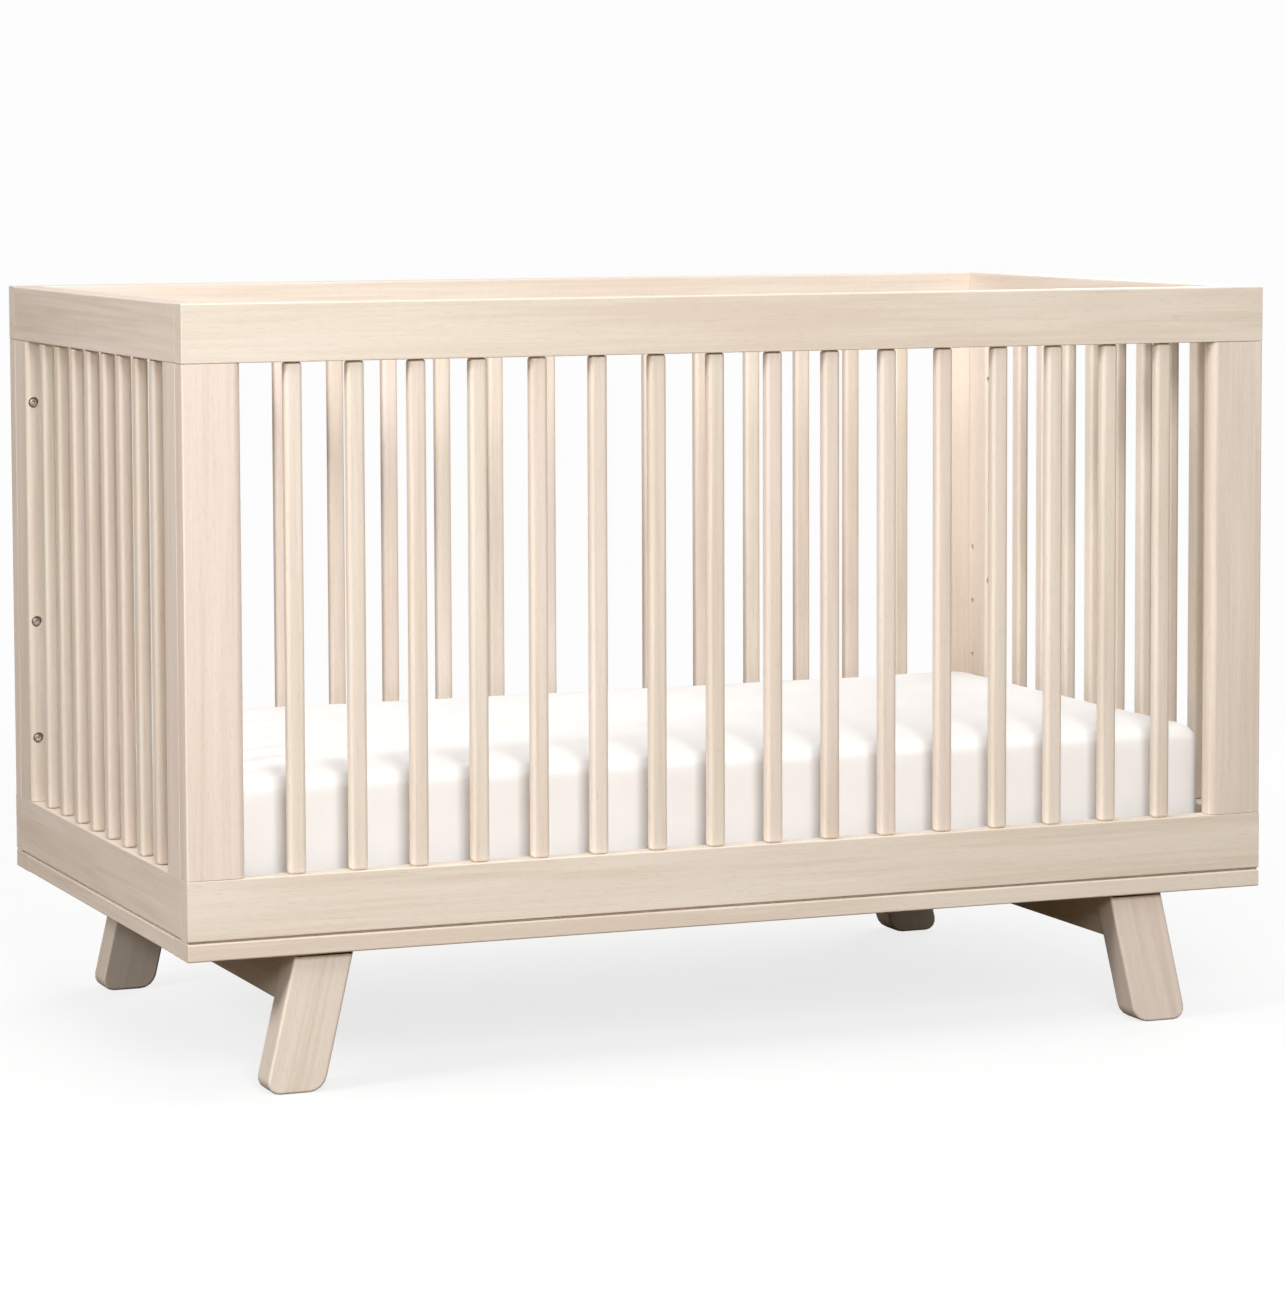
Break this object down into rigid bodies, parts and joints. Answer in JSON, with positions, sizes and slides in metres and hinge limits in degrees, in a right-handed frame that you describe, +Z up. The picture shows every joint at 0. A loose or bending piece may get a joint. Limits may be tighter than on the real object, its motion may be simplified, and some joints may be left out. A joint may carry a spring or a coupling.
{
  "type": "baby crib",
  "caption": "Slatted wooden baby crib: four slatted panels on a low base with splayed block legs, and a white mattress on a height-adjustable steel support.",
  "frame": {"origin": "on the floor under the middle of the crib", "axes": "+X along the crib's length, -Y out of the front side, +Z up"},
  "size_m": [1.388, 0.78, 0.912],
  "materials": {
    "washed_wood": "pale washed natural wood under a satin clear coat",
    "zinc_steel": "zinc-plated steel",
    "white_enamel": "white powder coat",
    "white_cotton": "white cotton fitted sheet"
  },
  "bodies": {
    "crib_frame": {"front_top_rail": "washed_wood", "front_bottom_rail": "washed_wood", "front_left_stile": "washed_wood", "front_right_stile": "washed_wood", "front_left_slats": "washed_wood", "front_right_slats": "washed_wood", "back_top_rail": "washed_wood", "back_bottom_rail": "washed_wood", "back_left_stile": "washed_wood", "back_right_stile": "washed_wood", "back_left_slats": "washed_wood", "back_right_slats": "washed_wood", "left_end_top_rail": "washed_wood", "left_end_bottom_rail": "washed_wood", "left_end_slats": "washed_wood", "left_end_back_post": "washed_wood", "left_end_front_post": "washed_wood", "right_end_top_rail": "washed_wood", "right_end_bottom_rail": "washed_wood", "right_end_slats": "washed_wood", "right_end_back_post": "washed_wood", "right_end_front_post": "washed_wood", "base_front_board": "washed_wood", "base_back_board": "washed_wood", "base_left_board": "washed_wood", "base_right_board": "washed_wood", "base_left_cross_board": "washed_wood", "base_right_cross_board": "washed_wood", "front_left_leg": "washed_wood", "front_right_leg": "washed_wood", "back_left_leg": "washed_wood", "back_right_leg": "washed_wood", "left_leg_beam": "washed_wood", "right_leg_beam": "washed_wood", "left_end_back_lower_bolt": "zinc_steel", "left_end_back_middle_bolt": "zinc_steel", "left_end_back_upper_bolt": "zinc_steel", "left_end_front_lower_bolt": "zinc_steel", "left_end_front_middle_bolt": "zinc_steel", "left_end_front_upper_bolt": "zinc_steel", "right_end_back_lower_bolt": "zinc_steel", "right_end_back_middle_bolt": "zinc_steel", "right_end_back_upper_bolt": "zinc_steel", "right_end_front_lower_bolt": "zinc_steel", "right_end_front_middle_bolt": "zinc_steel", "right_end_front_upper_bolt": "zinc_steel"},
    "mattress_support": {"support_front_angle": "white_enamel", "support_back_angle": "white_enamel", "support_left_angle": "white_enamel", "support_right_angle": "white_enamel", "support_straps": "white_enamel", "support_front_left_bracket": "zinc_steel", "support_front_right_bracket": "zinc_steel", "support_back_left_bracket": "zinc_steel", "support_back_right_bracket": "zinc_steel", "support_front_left_bolt": "zinc_steel", "support_front_right_bolt": "zinc_steel", "support_back_left_bolt": "zinc_steel", "support_back_right_bolt": "zinc_steel"},
    "mattress": {"mattress": "white_cotton"}
  },
  "joints": [
    {"name": "support_height", "type": "slide", "parent": "crib_frame", "child": "mattress_support", "axis": [0, 0, 1], "range_m": [0, 0.225]},
    {"name": "mattress_lift", "type": "slide", "parent": "mattress_support", "child": "mattress", "axis": [0, 0, 1], "range_m": [0, 0.7]}
  ]
}
